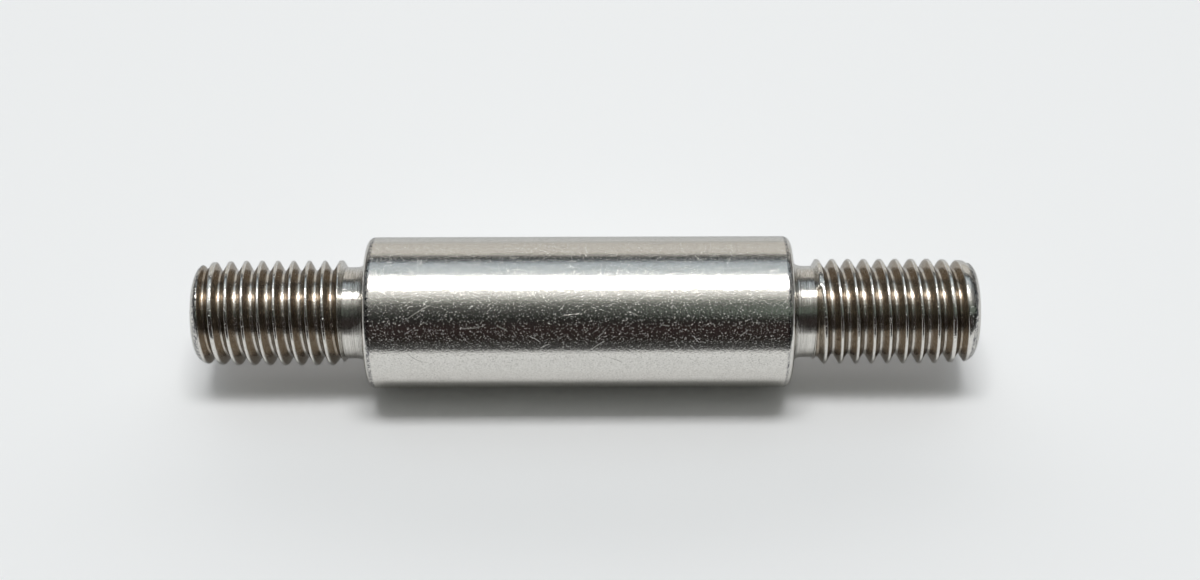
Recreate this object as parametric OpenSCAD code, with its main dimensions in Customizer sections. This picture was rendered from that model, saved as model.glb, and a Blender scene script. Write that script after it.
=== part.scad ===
// Double-ended stud bolt, turned from one bar: a plain shank between two shoulders,
// and at each end a neck and a rolled metric thread. It lies on its shank along X, with
// the origin on the surface below its middle. Millimetres and degrees.

/* [Shank] */
// Diameter of the plain shank
shank_d = 14.4; // [13.6:0.1:24]
// Length of the shank from shoulder to shoulder
shank_len = 40; // [10:0.5:150]
// Radius of the rounded edge at each shoulder
shank_edge_r = 0.7; // [0.1:0.05:0.9]

/* [Threads] */
// Major diameter of both threads
thread_d = 10; // [9.4:0.1:10.6]
// Pitch of both threads, which are right-handed
thread_pitch = 1.5; // [1:0.25:1.75]
// Depth of the thread groove, crest to root, as a multiple of the pitch
thread_depth_ratio = 0.6134; // [0.55:0.01:0.64]
// Length of the left end, from its shoulder to its tip
left_len = 16.4; // [10:0.1:30]
// Length of the right end, from its shoulder to its tip
right_len = 17.6; // [10:0.1:30]
// Angle at which the left thread's groove comes in over the tip
left_start = 328; // [0:1:359]
// Angle at which the right thread's groove comes in over the tip
right_start = 212; // [0:1:359]

/* [Tips] */
// Radius of the rounding from each thread to its flat end
tip_round_r = 1.3; // [0.4:0.05:1.6]
// How much the radius has come down where that rounding begins
tip_drop = 0.25; // [0.05:0.05:0.4]
// Length of the lead-in over which it comes down
lead_in = 3; // [0.5:0.1:4]

/* [Necks] */
// Diameter of the plain neck behind each thread
neck_d = 8.7; // [8.4:0.1:9]
// Length of the neck, from the shoulder to the last thread
neck_len = 2.2; // [1.6:0.1:3]
// Radius of the fillet between the neck and its shoulder
neck_fillet_r = 1.2; // [0.2:0.1:1.4]

/* [Hidden] */
$fn = 96;

shank_r = shank_d / 2;
thread_r = thread_d / 2;
tip_r = thread_r - tip_drop;
neck_r = neck_d / 2;
overall_len = left_len + shank_len + right_len;

// The basic profile of a metric thread: 60 degrees, with an eighth of the pitch flat on
// the crest.
flank_angle = 30;
crest_flat = thread_pitch / 8;
groove_depth = thread_depth_ratio * thread_pitch;
root_r = thread_r - groove_depth;
root_half = (thread_pitch - crest_flat) / 2 - groove_depth * tan(flank_angle);
// The root is rounded below its corners by this share of its half width.
root_round = 0.3 * root_half;

// The groove's section stands clear of the blank by this share of what would bring it
// to the next turn of the groove.
out_share = 0.6;
mouth_half = (thread_pitch - (1 - out_share) * crest_flat) / 2;
mouth_r = thread_r + out_share * crest_flat / 2 / tan(flank_angle);

// One turn of the groove has this many straight steps.
steps_per_turn = 36;
// Over its last turn the groove's root comes up to this radius, just clear of the neck.
runout_r = neck_r + root_round + 0.05;

// Radius against distance from the shoulder's plane, for one end before threading.
module end_profile(len) {
    polygon([
        [0, 0],
        [neck_r, 0],
        [neck_r, neck_len],
        [thread_r, neck_len + thread_r - neck_r],
        [thread_r, len - tip_round_r - lead_in],
        [tip_r, len - tip_round_r],
        [0, len - tip_round_r]
    ]);
    // rounded tip
    square([tip_r - tip_round_r, len]);
    translate([tip_r - tip_round_r, len - tip_round_r])
        circle(tip_round_r);
    // fillet at the shoulder
    difference() {
        square([neck_r + neck_fillet_r, neck_fillet_r]);
        translate([neck_r + neck_fillet_r, neck_fillet_r])
            circle(neck_fillet_r);
    }
}

module shank_profile() {
    square([shank_r - shank_edge_r, shank_len]);
    translate([0, shank_edge_r])
        square([shank_r, shank_len - 2 * shank_edge_r]);
    for (y = [shank_edge_r, shank_len - shank_edge_r])
        translate([shank_r - shank_edge_r, y])
            circle(shank_edge_r);
}

module blank() {
    rotate_extrude() {
        shank_profile();
        translate([0, shank_len]) end_profile(right_len);
        mirror([0, 1]) end_profile(left_len);
    }
}

// The groove's section as radius against offset along the axis, with its root at r.
function groove_section(r) = [
    [mouth_r, -mouth_half],
    [r, -root_half],
    [r - root_round, 0],
    [r, root_half],
    [mouth_r, mouth_half]
];

// A helical groove that comes in one pitch beyond the tip and runs out at the neck.
module groove(len, start) {
    travel = len + thread_pitch - neck_len;
    steps = ceil(travel / thread_pitch * steps_per_turn);
    sections = [
        for (i = [0 : steps])
            let (turned = start - 360 * i / steps_per_turn)
            let (along = len + thread_pitch - thread_pitch * i / steps_per_turn)
            let (fade = max(0, 1 - (steps - i) / steps_per_turn))
            [
                for (p = groove_section(root_r + fade * (runout_r - root_r)))
                    [p.x * cos(turned), p.x * sin(turned), along + p.y]
            ]
    ];
    n = len(sections[0]);
    walls = [
        for (i = [0 : steps - 1], k = [0 : n - 1])
            let (a = i * n + k)
            let (b = i * n + (k + 1) % n)
            each [[a, b, b + n], [a, b + n, a + n]]
    ];
    first_cap = [for (k = [n - 1 : -1 : 0]) k];
    last_cap = [for (k = [0 : n - 1]) steps * n + k];
    polyhedron([for (s = sections) each s], concat(walls, [first_cap, last_cap]));
}

// The half turn puts the seam of the revolved blank on top, away from the surface it
// lies on.
module stud() {
    color("silver")
        translate([left_len - overall_len / 2, 0, shank_r])
        rotate([0, 90, 0])
        rotate([0, 0, 180])
        difference() {
            blank();
            translate([0, 0, shank_len]) groove(right_len, right_start);
            rotate([180, 0, 0]) groove(left_len, left_start);
        }
}

stud();
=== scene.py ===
"""A double-ended stud bolt lying on a pale sheet.

Lengths in the shape functions are millimetres; the mesh is written in metres.
"""
import math

import bpy
import numpy as np
from mathutils import Matrix, Vector


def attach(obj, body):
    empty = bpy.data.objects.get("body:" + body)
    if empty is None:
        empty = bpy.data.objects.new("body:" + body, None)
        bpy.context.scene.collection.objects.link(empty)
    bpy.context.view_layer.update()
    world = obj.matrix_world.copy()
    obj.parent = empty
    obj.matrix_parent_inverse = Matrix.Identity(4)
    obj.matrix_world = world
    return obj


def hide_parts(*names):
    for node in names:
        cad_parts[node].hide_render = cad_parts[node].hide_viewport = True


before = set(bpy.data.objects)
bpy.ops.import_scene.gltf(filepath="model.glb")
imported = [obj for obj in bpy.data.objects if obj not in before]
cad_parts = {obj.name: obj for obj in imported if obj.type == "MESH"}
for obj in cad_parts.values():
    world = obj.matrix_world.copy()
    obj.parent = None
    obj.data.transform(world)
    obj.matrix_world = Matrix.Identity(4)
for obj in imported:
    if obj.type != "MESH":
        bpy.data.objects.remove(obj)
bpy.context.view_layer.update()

MM = 0.001

# The solid's own sizes, apart from the angles where the grooves start, how far the tips
# come down, the length of the necks and the slope of the last flanks.
SHANK_R, SHANK_LEN, EDGE_R = 7.2, 40.0, 0.7
THREAD_R, PITCH, DEPTH = 5.0, 1.5, 0.6134 * 1.5
LEFT_LEN, RIGHT_LEN = 16.4, 17.6
LEFT_START, RIGHT_START = 159.0, 28.0
TIP_ROUND, TIP_DROP, LEAD_IN = 1.3, 0.15, 3.0
# How far from the tip's end the groove begins, and over what length it comes in.
GROOVE_BEGIN, GROOVE_ENTRY = 0.45, 0.6
NECK_R, NECK_LEN, FILLET = 4.35, 2.1, 1.2
OVERALL = LEFT_LEN + SHANK_LEN + RIGHT_LEN
LEFT_SHOULDER = LEFT_LEN - OVERALL / 2
RIGHT_SHOULDER = LEFT_SHOULDER + SHANK_LEN
FLANK = math.radians(30)
CREST = PITCH / 8
ROOT_R = THREAD_R - DEPTH
ROOT_HALF = (PITCH - CREST) / 2 - DEPTH * math.tan(FLANK)
# The groove's flanks go on clear of the blank by this share of what would bring them to
# the next turn.
OUT_SHARE = 0.6
MOUTH_HALF = (PITCH - (1 - OUT_SHARE) * CREST) / 2
MOUTH_R = THREAD_R + OUT_SHARE * CREST / 2 / math.tan(FLANK)
# Where the groove comes in over the tip and runs out at the neck, its root lies at these
# radii, clear of the blank.
ROOT_ROUND = 0.3 * ROOT_HALF
ENTRY_R = THREAD_R + ROOT_ROUND + 0.02
RUNOUT_R = NECK_R + ROOT_ROUND + 0.05
# How much the root's rounding lies below its corners, and how fast it curves up.
ROOT_DIP, ROOT_CURVE = 0.02, 1.1
# How far the edges between root and flank and between flank and crest are rounded.
ROOT_BLEND, CREST_BLEND = 0.05, 0.08
# The radius given where there is no groove.
UNCUT = 99.0

COLUMNS = 128
# Greatest gap between rows outside the threads.
ROW_GAP = 1.7
# A place on each thread's cylinder, from the middle, and the running length from each
# pole to where rows may begin to follow the thread.
ON_THREAD, CAP_RUN = 30.0, 1.3
# Where rows lie across one pitch, from root to root: close together on the crest's edges
# and in the root.
HALF = [0.035, 0.07, 0.1, 0.15, 0.22, 0.3, 0.37, 0.405, 0.43, 0.455, 0.48]
SHARES = np.array([0.0] + HALF + [1 - h for h in HALF[::-1]] + [1.0])


# ---------------------------------------------------------------- shape

def arc(cx, cr, radius, start, end, n=20):
    """Points of a circle about (cx, cr), from start to end degrees."""
    t = np.radians(np.linspace(start, end, n))
    return np.column_stack([cx + radius * np.cos(t), cr + radius * np.sin(t)])


def end_outline(length):
    """One end before threading, as distance from its shoulder against radius, tip first:
    a flat, a rounding, a slight lead-in cone, the thread's cylinder, its last flank, the
    neck and the fillet."""
    tip_r = THREAD_R - TIP_DROP
    return np.vstack([
        [[length, 0.0]],
        arc(length - TIP_ROUND, tip_r - TIP_ROUND, TIP_ROUND, 0, 90),
        [[length - TIP_ROUND - LEAD_IN, THREAD_R],
         [NECK_LEN + (THREAD_R - NECK_R) * math.tan(FLANK), THREAD_R],
         [NECK_LEN, NECK_R]],
        arc(FILLET, NECK_R + FILLET, FILLET, 270, 180),
    ])


def outline():
    """The whole blank from pole to pole, as x, radius and running length."""
    left, right = end_outline(LEFT_LEN), end_outline(RIGHT_LEN)[::-1]
    points = np.vstack([
        left * [-1, 1] + [LEFT_SHOULDER, 0],
        arc(LEFT_SHOULDER + EDGE_R, SHANK_R - EDGE_R, EDGE_R, 180, 90),
        arc(RIGHT_SHOULDER - EDGE_R, SHANK_R - EDGE_R, EDGE_R, 90, 0),
        right + [RIGHT_SHOULDER, 0],
    ])
    step = np.hypot(*np.diff(points, axis=0).T)
    points = points[np.r_[True, step > 1e-9]]
    run = np.r_[0, np.cumsum(np.hypot(*np.diff(points, axis=0).T))]
    return points[:, 0], points[:, 1], run


def smooth_min(a, b, k):
    """The lesser of two radii, with the edge between them rounded over k."""
    h = np.clip(0.5 + 0.5 * (b - a) / k, 0, 1)
    return b + (a - b) * h - k * h * (1 - h)


def groove_radius(x, degrees, shoulder, side, start, length):
    """Radius of the thread's groove at x and at an angle from the top.

    The groove's centre climbs one pitch a turn. Away from the centre the radius goes up
    along a straight flank from a rounded root. The root comes down from clear of the tip
    over the entry, and goes up to clear of the neck over the last turn.
    """
    centre = shoulder + side * (length - GROOVE_BEGIN) + PITCH * (degrees - side * start) / 360
    offset = x - centre
    offset = offset - PITCH * np.round(offset / PITCH)
    along = side * (x - offset - shoulder)
    entry = np.clip(1 - (length - GROOVE_BEGIN - along) / GROOVE_ENTRY, 0, 1)
    runout = np.clip(1 - (along - NECK_LEN) / PITCH, 0, 1)
    root = ROOT_R + entry * (ENTRY_R - ROOT_R) + runout * (RUNOUT_R - ROOT_R)
    rise = (MOUTH_R - root) / (MOUTH_HALF - ROOT_HALF)
    d = np.abs(offset)
    flank = root + rise * (d - ROOT_HALF)
    bottom = root - ROOT_DIP + ROOT_CURVE * d ** 2
    r = -smooth_min(-flank, -bottom, ROOT_BLEND)
    inside = (along > NECK_LEN) & (along < length - GROOVE_BEGIN)
    return np.where(inside, r, UNCUT)


def thread_rows(first, turns):
    """Rows that follow a thread, as running length at every column.

    A fan of rows opens from the ring at first, the rows then climb one pitch a turn for
    the given turns, and a second fan closes them on a ring.
    """
    turn = np.linspace(0, 1, COLUMNS + 1)
    fan_in = first + PITCH * SHARES[:, None] * turn
    climb = np.concatenate([k + SHARES[1:] for k in range(turns)])
    climb = first + PITCH * (climb[:, None] + turn)
    fan_out = first + PITCH * (turns + turn + SHARES[1:, None] * (1 - turn))
    return np.vstack([fan_in, climb, fan_out])


def weld_map(rows, zones):
    """Vertex number at every row and column.

    The last column is the first again. In a thread's rows it is the first column one turn
    further on, and each fan starts or ends in one vertex.
    """
    n = len(SHARES) - 1
    ids = np.arange(rows * (COLUMNS + 1)).reshape(rows, COLUMNS + 1)
    ids[:, -1] = ids[:, 0]
    for begin, end in zones:
        ids[begin + 1:begin + n + 1, 0] = ids[begin, 0]
        body = np.arange(begin + 1, end - n + 1)
        ids[body, -1] = ids[body + n, 0]
        ids[end - n + 1:end + 1, -1] = ids[end, 0]
    return ids


def stud_mesh():
    """Skin of the stud, with how deep each point lies in the thread as a share of the
    thread's depth.

    Rows run round the axis at set running lengths of the outline, and follow the helix in
    the threads. The radius at each point is the lesser of the blank's and the groove's.
    """
    px, pr, run = outline()
    total = run[-1]

    # Running length and x differ by a constant along each thread's cylinder, which gives
    # the running length of a root at angle 0.
    shift = np.interp(-ON_THREAD, px, run) + ON_THREAD
    root = LEFT_SHOULDER - LEFT_LEN + GROOVE_BEGIN + PITCH * LEFT_START / 360 + shift
    first = root - PITCH * np.floor((root - CAP_RUN) / PITCH)
    turns = int(np.ceil((np.interp(LEFT_SHOULDER - NECK_LEN, px, run) - first) / PITCH))
    left_rows = thread_rows(first, turns)
    left_ring = first + PITCH * (turns + 1)

    shift = np.interp(ON_THREAD, px, run) - ON_THREAD
    root = RIGHT_SHOULDER + RIGHT_LEN - GROOVE_BEGIN - PITCH * RIGHT_START / 360 + shift
    neck = np.interp(RIGHT_SHOULDER + NECK_LEN, px, run)
    right_first = root - PITCH * np.ceil((root - neck + PITCH) / PITCH)
    turns = int((total - CAP_RUN - right_first) / PITCH) - 1
    right_rows = thread_rows(right_first, turns)
    right_ring = right_first + PITCH * (turns + 1)

    def rings(values):
        return np.repeat(np.asarray(values, float)[:, None], COLUMNS + 1, axis=1)

    nodes = run[(run > left_ring + 0.05) & (run < right_first - 0.05)]
    most = 24
    spaced = np.linspace(nodes[:-1], nodes[1:], 1 + most, axis=1)
    counts = np.clip(np.ceil(np.diff(nodes) / ROW_GAP), 1, most).astype(int)
    middle = np.concatenate([row[np.linspace(0, most, k + 1).astype(int)[:-1]]
                             for row, k in zip(spaced, counts)] + [nodes[-1:]])

    last = total - right_ring
    before = rings([0.4 * first, 0.8 * first])
    after = rings([total - 0.8 * last, total - 0.4 * last])
    s = np.vstack([before, left_rows, rings(middle), right_rows, after])
    starts = [len(before), len(before) + len(left_rows) + len(middle)]
    zones = [(starts[0], starts[0] + len(left_rows) - 1),
             (starts[1], starts[1] + len(right_rows) - 1)]

    degrees = np.linspace(0, 360, COLUMNS + 1)[None, :]
    x, blank = np.interp(s, run, px), np.interp(s, run, pr)
    cut = np.where(x < 0,
                   groove_radius(x, degrees, LEFT_SHOULDER, -1, LEFT_START, LEFT_LEN),
                   groove_radius(x, degrees, RIGHT_SHOULDER, 1, RIGHT_START, RIGHT_LEN))
    cut = np.where((x < LEFT_SHOULDER) | (x > RIGHT_SHOULDER), cut, UNCUT)
    r = smooth_min(blank, cut, CREST_BLEND)
    depth = (blank - r) / DEPTH

    a = np.radians(degrees)
    points = np.stack([x, -r * np.sin(a), SHANK_R + r * np.cos(a)], axis=-1).reshape(-1, 3)
    poles = [[px[0], 0, SHANK_R], [px[-1], 0, SHANK_R]]
    ids = weld_map(len(s), zones)
    quads = np.stack([ids[:-1, :-1], ids[:-1, 1:], ids[1:, 1:], ids[1:, :-1]], axis=-1)
    quads = quads.reshape(-1, 4)
    left_pole, right_pole = np.full(COLUMNS, len(points)), np.full(COLUMNS, len(points) + 1)
    faces = np.vstack([
        quads[:, [0, 1, 2]], quads[:, [0, 2, 3]],
        np.column_stack([left_pole, ids[0, 1:], ids[0, :-1]]),
        np.column_stack([right_pole, ids[-1, :-1], ids[-1, 1:]]),
    ])
    whole = (faces != np.roll(faces, 1, axis=1)).all(axis=1)
    used, faces = np.unique(faces[whole], return_inverse=True)
    points, depth = np.vstack([points, poles]), np.r_[depth.ravel(), 0, 0]
    return points[used] * MM, faces.reshape(-1, 3), depth[used]


def add_mesh(name, points, faces):
    """A smooth-shaded object from whole arrays."""
    mesh = bpy.data.meshes.new(name)
    mesh.from_pydata(points.tolist(), [], faces.tolist())
    mesh.polygons.foreach_set("use_smooth", np.ones(len(mesh.polygons), bool))
    mesh.update()
    piece = bpy.data.objects.new(name, mesh)
    bpy.context.scene.collection.objects.link(piece)
    return piece


# ---------------------------------------------------------------- shader maths

class Value:
    """A shader socket that takes part in Python expressions."""

    def __init__(self, nodes, socket):
        self.nodes, self.socket = nodes, socket

    def math(self, operation, *others):
        return self.nodes.maths(operation, self, *others)

    def __add__(self, other): return self.math("ADD", other)
    def __sub__(self, other): return self.math("SUBTRACT", other)
    def __mul__(self, other): return self.math("MULTIPLY", other)
    def __truediv__(self, other): return self.math("DIVIDE", other)
    def __neg__(self): return self.math("MULTIPLY", -1.0)
    def __radd__(self, other): return self.nodes.maths("ADD", other, self)
    def __rsub__(self, other): return self.nodes.maths("SUBTRACT", other, self)
    def __rmul__(self, other): return self.nodes.maths("MULTIPLY", other, self)

    def size(self): return self.math("ABSOLUTE")
    def clamp(self): return self.nodes.add("ShaderNodeClamp", {}, {0: self})

    def step(self, low, high):
        """0 below low and 1 above high, with a smooth rise between them."""
        return self.nodes.add("ShaderNodeMapRange", {"interpolation_type": "SMOOTHSTEP"},
                              {0: self, 1: low, 2: high, 3: 0.0, 4: 1.0})

    def window(self, low, high, soft):
        """1 between low and high, and 0 outside them."""
        return self.step(low - soft, low + soft) * (1 - self.step(high - soft, high + soft))


class Nodes:
    """The nodes of one material or world."""

    def __init__(self, owner):
        owner.use_nodes = True
        self.tree = owner.node_tree
        self.tree.nodes.clear()

    def add(self, kind, settings, inputs, out=0):
        """Adds a node: its settings first, then its sockets, by number or by name."""
        node = self.tree.nodes.new(kind)
        for key, value in settings.items():
            setattr(node, key, value)
        for key, value in inputs.items():
            if isinstance(value, Value):
                self.tree.links.new(value.socket, node.inputs[key])
            else:
                node.inputs[key].default_value = value
        return Value(self, node.outputs[out]) if len(node.outputs) else node

    def maths(self, operation, *inputs):
        return self.add("ShaderNodeMath", {"operation": operation}, dict(enumerate(inputs)))

    def mix(self, factor, a, b):
        """Colour a where factor is 0 and b where it is 1."""
        a, b = [c if isinstance(c, Value) else (*c, 1.0) for c in (a, b)]
        return self.add("ShaderNodeMix", {"data_type": "RGBA"}, {0: factor, 6: a, 7: b}, out=2)

    def parts(self, vector):
        node = self.add("ShaderNodeSeparateXYZ", {}, {0: vector}).socket.node
        return [Value(self, socket) for socket in node.outputs]

    def noise(self, where, scale, detail=2.0, roughness=0.5):
        return self.add("ShaderNodeTexNoise", {}, {"Vector": where, "Scale": scale,
                                                   "Detail": detail, "Roughness": roughness})

    def vector(self, x, y, z):
        return self.add("ShaderNodeCombineXYZ", {}, {0: x, 1: y, 2: z})

    def ramp(self, factor, stops):
        """Colours blended between stops of (place, colour)."""
        value = self.add("ShaderNodeValToRGB", {}, {0: factor})
        elements = value.socket.node.color_ramp.elements
        for place, colour in stops[2:]:
            elements.new(place)
        for element, (place, colour) in zip(elements, sorted(stops)):
            element.position, element.color = place, (*colour, 1.0)
        return value


# Stray scratches on the shank: place along the axis and round from the top, both in
# millimetres, length, slant in degrees and bend.
SCRATCHES = [
    (-15.6, 5.6, 4.0, -33, 0.05), (-16.2, 7.2, 1.3, -30, 0.1), (-10.5, 6.9, 2.8, -5, -0.06),
    (-7.6, 6.9, 1.5, 24, 0.1), (-1.3, 5.7, 2.4, -8, 0.04), (4.4, 5.6, 1.4, 24, 0.15),
    (1.4, 6.7, 2.9, -50, -0.12), (1.9, 7.0, 2.7, -52, -0.1), (1.2, 8.5, 1.8, -35, 0.1),
    (-15.7, 10.1, 2.1, 35, -0.2), (7.3, 6.7, 1.3, 8, 0.1), (14.6, 7.4, 1.6, -38, 0.02),
    (3.0, 10.3, 1.6, 28, 0.2), (-12.9, 6.0, 1.2, -60, 0.1), (-4.6, 7.9, 1.6, 30, 0.15),
    (-3.7, 8.6, 1.2, -25, 0.2), (10.2, 8.0, 1.2, 50, -0.1), (6.7, -2.4, 2.2, 2, 0.15),
    (-8.8, -3.4, 1.5, -18, 0.2), (-2.5, 14.6, 1.8, 15, 0.3), (7.7, 15.8, 1.5, -30, 0.25),
]


def scratch_lines(n, u, v):
    """1 on the scratches and 0 off them. Each is a thin parabola: in its own slanted
    directions p and q, the points with q near bend times p squared."""
    total = 0.0
    for x, round_, length, slant, bend in SCRATCHES:
        c, s = math.cos(math.radians(slant)), math.sin(math.radians(slant))
        p = (u - x) * c + (v - round_) * s
        q = (v - round_) * c - (u - x) * s - p * p * bend
        near = 1 - q.size().step(0.01, 0.055)
        total = total + near * (1 - p.size().step(length * 0.25, length * 0.5))
    return total.clamp()


# Colours of the steel, and how far each kind of mark stands up or goes down, in
# millimetres.
CLEAN, SPECKLED = (0.82, 0.80, 0.76), (0.68, 0.66, 0.62)
# The brown of the thread flanks is partly stain and partly painted shade in the grooves.
WORN_EDGE, FLANK_STAIN_AND_SHADE = (0.16, 0.16, 0.17), (0.36, 0.30, 0.235)
GRAIN_HEIGHT, PIT_DEPTH, NICK_DEPTH = 0.013, 0.013, 0.006
SCRATCH_HEIGHT, TURNING_HEIGHT = 0.012, 0.22


def steel():
    """Bright plated steel: a fine pitted grain, nicks and stray scratches on the shank,
    dark specks along its edges and the tips', turning marks on the necks, and a brown
    tint on the thread flanks between clean crests, partly stain and partly painted shade."""
    material = bpy.data.materials.new("plated_steel")
    n = Nodes(material)
    place = n.add("ShaderNodeTexCoord", {}, {}, out=3)
    mm = n.add("ShaderNodeVectorMath", {"operation": "SCALE"}, {0: place, 3: 1 / MM})
    x, y, z = n.parts(mm)
    round_ = n.maths("ARCTAN2", -y, z - SHANK_R) * SHANK_R
    depth = n.add("ShaderNodeAttribute", {"attribute_name": "groove_depth"}, {}, out=2)

    shank = x.window(LEFT_SHOULDER + 0.2, RIGHT_SHOULDER - 0.2, 0.3)
    neck = (x.window(LEFT_SHOULDER - NECK_LEN - 0.3, LEFT_SHOULDER, 0.15)
            + x.window(RIGHT_SHOULDER, RIGHT_SHOULDER + NECK_LEN + 0.3, 0.15))
    groove = depth.step(0.03, 0.22)

    fine = n.noise(mm, 5.5, 2.0, 0.6) - 0.5
    pits = n.noise(mm, 7.2, 1.0, 0.5).step(0.62, 0.72)
    nicks = n.noise(mm, 4.6, 2.0, 0.6).step(0.66, 0.78)
    edges = (x.window(LEFT_SHOULDER + 0.35, LEFT_SHOULDER + 0.7, 0.08)
             + x.window(RIGHT_SHOULDER - 0.7, RIGHT_SHOULDER - 0.45, 0.08)
             + x.size().window(OVERALL / 2 - 0.8, OVERALL / 2 - 0.3, 0.1))
    worn = edges * n.noise(mm, 7.0, 1.0, 0.5).step(0.44, 0.56)
    scratches = scratch_lines(n, x, round_)
    turning = n.noise(n.vector(x * 4.0, 0.0, 0.0), 1.0, 3.0, 0.7) - 0.5
    height = ((fine * GRAIN_HEIGHT - pits * PIT_DEPTH) * (1 - neck * 0.8)
              - nicks * shank * NICK_DEPTH + scratches * shank * SCRATCH_HEIGHT
              + turning * neck * TURNING_HEIGHT)

    patches = (0.7 + 0.9 * (n.noise(mm, 2.6, 3.0, 0.7) - 0.3)).clamp()
    # Painted shade, partly stain: the groove flanks are tinted brown, the root less, so its
    # highlight stays white.
    flank_stain_and_shade = groove * (1 - depth.step(0.85, 1.0) * 0.7) * patches
    colour = n.mix(n.noise(mm, 7.0, 2.0, 0.7).step(0.35, 0.62), SPECKLED, CLEAN)
    colour = n.mix(worn, colour, WORN_EDGE)
    colour = n.mix(flank_stain_and_shade, colour, FLANK_STAIN_AND_SHADE)
    roughness = 0.12 + groove * 0.08 + nicks * shank * 0.2

    bump = n.add("ShaderNodeBump", {}, {"Strength": 1.0, "Distance": MM, "Height": height})
    shader = n.add("ShaderNodeBsdfPrincipled", {}, {
        "Base Color": colour, "Metallic": 1.0, "Roughness": roughness,
        "Specular Tint": (0.6, 0.6, 0.6, 1.0), "Normal": bump})
    n.add("ShaderNodeOutputMaterial", {}, {0: shader})
    return material


# Painted dark reflection: what the steel mirrors of the sheet goes dark between these distances in
# front.
PAINTED_REFLECTION_FADE = (40 * MM, 46 * MM)


def sheet():
    """Pale matt paper, with a painted dark reflection: what the steel mirrors of it turns
    dark a little way in front, though the sheet goes on. The camera and all other light see it
    whole."""
    material = bpy.data.materials.new("pale_sheet")
    n = Nodes(material)
    y = n.parts(n.add("ShaderNodeTexCoord", {}, {}, out=3))[1]
    mirrored = n.add("ShaderNodeLightPath", {}, {}, out=3)
    # Painted dark reflection: glossy rays see the sheet dark beyond this distance in front.
    painted_dark_reflection = mirrored * (-y).step(*PAINTED_REFLECTION_FADE)
    colour = n.mix(painted_dark_reflection, (0.855, 0.862, 0.868), (0.02, 0.02, 0.02))
    shader = n.add("ShaderNodeBsdfPrincipled", {}, {"Base Color": colour, "Roughness": 0.9})
    n.add("ShaderNodeOutputMaterial", {}, {0: shader})
    return material


def studio():
    """The room by angle from the front horizon over the top to the back: dark in front, a
    long soft panel overhead that pales to blue behind, a narrow gap and a warm wall. The
    wall lights the sheet more strongly than the steel shows it, which keeps the floor
    below the threads from going dark."""
    world = bpy.data.worlds.new("studio")
    bpy.context.scene.world = world
    n = Nodes(world)
    x, y, z = n.parts(n.add("ShaderNodeTexCoord", {}, {}))
    swing = n.maths("ARCTAN2", z, -y) / math.radians(180)
    room = n.ramp(swing, [
        (0 / 180, (0.030, 0.027, 0.025)),
        (22 / 180, (0.034, 0.024, 0.023)),
        (38 / 180, (0.024, 0.025, 0.024)),
        (50 / 180, (0.07, 0.072, 0.068)),
        (59 / 180, (0.13, 0.135, 0.125)),
        (68 / 180, (0.48, 0.49, 0.46)),
        (76 / 180, (0.90, 0.90, 0.87)),
        (98 / 180, (0.95, 0.95, 0.94)),
        (108 / 180, (0.60, 0.66, 0.69)),
        (126 / 180, (0.47, 0.54, 0.59)),
        (132 / 180, (0.06, 0.065, 0.07)),
        (141 / 180, (0.05, 0.05, 0.05)),
        (145 / 180, (0.67, 0.65, 0.61)),
        (180 / 180, (0.68, 0.66, 0.62)),
    ])
    ends = x.size().step(0.35, 0.65)
    room = n.mix(ends * 0.8, room, (0.04, 0.04, 0.04))
    corner = x.step(0.03, 0.10) * swing.window(40 / 180, 60 / 180, 6 / 180)
    room = n.mix(corner, room, (0.15, 0.18, 0.155))
    mirrored = n.add("ShaderNodeLightPath", {}, {}, out=3)
    low_back = swing.step(135 / 180, 148 / 180) * (1 - mirrored)
    room = n.mix(low_back, room, (1.6, 1.6, 1.6))
    seen = n.add("ShaderNodeLightPath", {}, {})
    colour = n.mix(seen, room, (0.80, 0.81, 0.82))
    n.add("ShaderNodeOutputWorld", {}, {0: n.add("ShaderNodeBackground", {}, {0: colour, 1: 1.0})})


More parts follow.
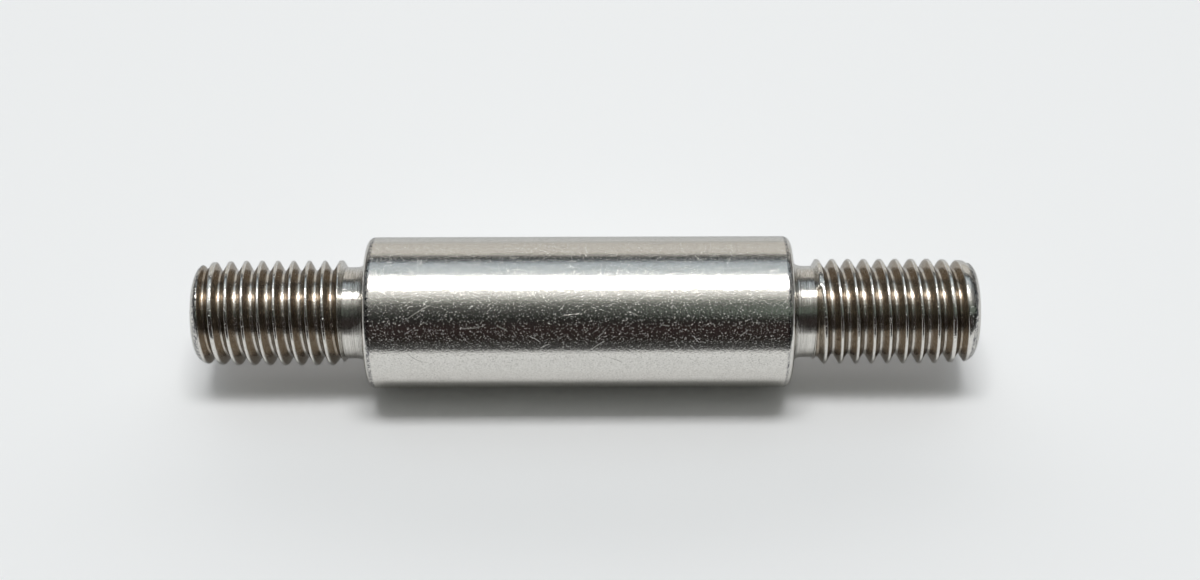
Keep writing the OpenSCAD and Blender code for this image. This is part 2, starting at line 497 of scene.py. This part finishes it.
def lamp(name, angle, distance, size_x, size_y, level):
    """A soft rectangular lamp, at an angle in degrees from the front horizon over the top.
    A level of 1 is as bright as a white sheet in full light. Sizes are metres."""
    light = bpy.data.lights.new(name, "AREA")
    light.shape = "RECTANGLE"
    light.size, light.size_y = size_x, size_y
    light.energy = level * math.pi * size_x * size_y
    fixture = bpy.data.objects.new(name, light)
    t = math.radians(angle)
    towards = Vector((0, -math.cos(t), math.sin(t)))
    across = Vector((1, 0, 0))
    fixture.matrix_world = Matrix.Translation(towards * distance) @ Matrix((
        across, towards.cross(across), towards)).transposed().to_4x4()
    bpy.context.scene.collection.objects.link(fixture)


def camera(elevation, distance, lens, right, up, roll):
    """Looks at the stud's axis from the front and above, at a spot right of its middle and
    above the axis, in millimetres and degrees."""
    data = bpy.data.cameras.new("camera")
    data.lens, data.sensor_width, data.clip_start, data.clip_end = lens, 36.0, 0.005, 100.0
    e = math.radians(elevation)
    ahead = Vector((0, math.cos(e), -math.sin(e)))
    upward = Vector((0, math.sin(e), math.cos(e)))
    aim = Vector((right * MM, 0, SHANK_R * MM)) + upward * (up * MM)
    turn = Matrix.Rotation(math.radians(roll), 3, ahead)
    sideways, upward = turn @ Vector((1, 0, 0)), turn @ upward
    view = bpy.data.objects.new("camera", data)
    view.matrix_world = Matrix.Translation(aim - ahead * (distance * MM)) @ Matrix((
        sideways, upward, -ahead)).transposed().to_4x4()
    bpy.context.scene.collection.objects.link(view)
    bpy.context.scene.camera = view


# ---------------------------------------------------------------- the stud

points, faces, depth = stud_mesh()
stud = add_mesh("stud_skin", points, faces)
grooved = stud.data.attributes.new("groove_depth", "FLOAT", "POINT")
grooved.data.foreach_set("value", depth.astype(np.float32))
stud.data.materials.append(steel())
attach(stud, "root")
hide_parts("stud")

floor = add_mesh("floor", np.array([[-3, -3, 0], [3, -3, 0], [3, 3, 0], [-3, 3, 0]], float),
                 np.array([[0, 1, 2], [0, 2, 3]]))
floor.data.materials.append(sheet())

studio()
lamp("overhead", angle=91.5, distance=0.8, size_x=0.40, size_y=0.16, level=16.5)
camera(elevation=46, distance=177, lens=55.62, right=1.38, up=2.10, roll=0.17)

scene = bpy.context.scene
scene.view_settings.view_transform = "Standard"
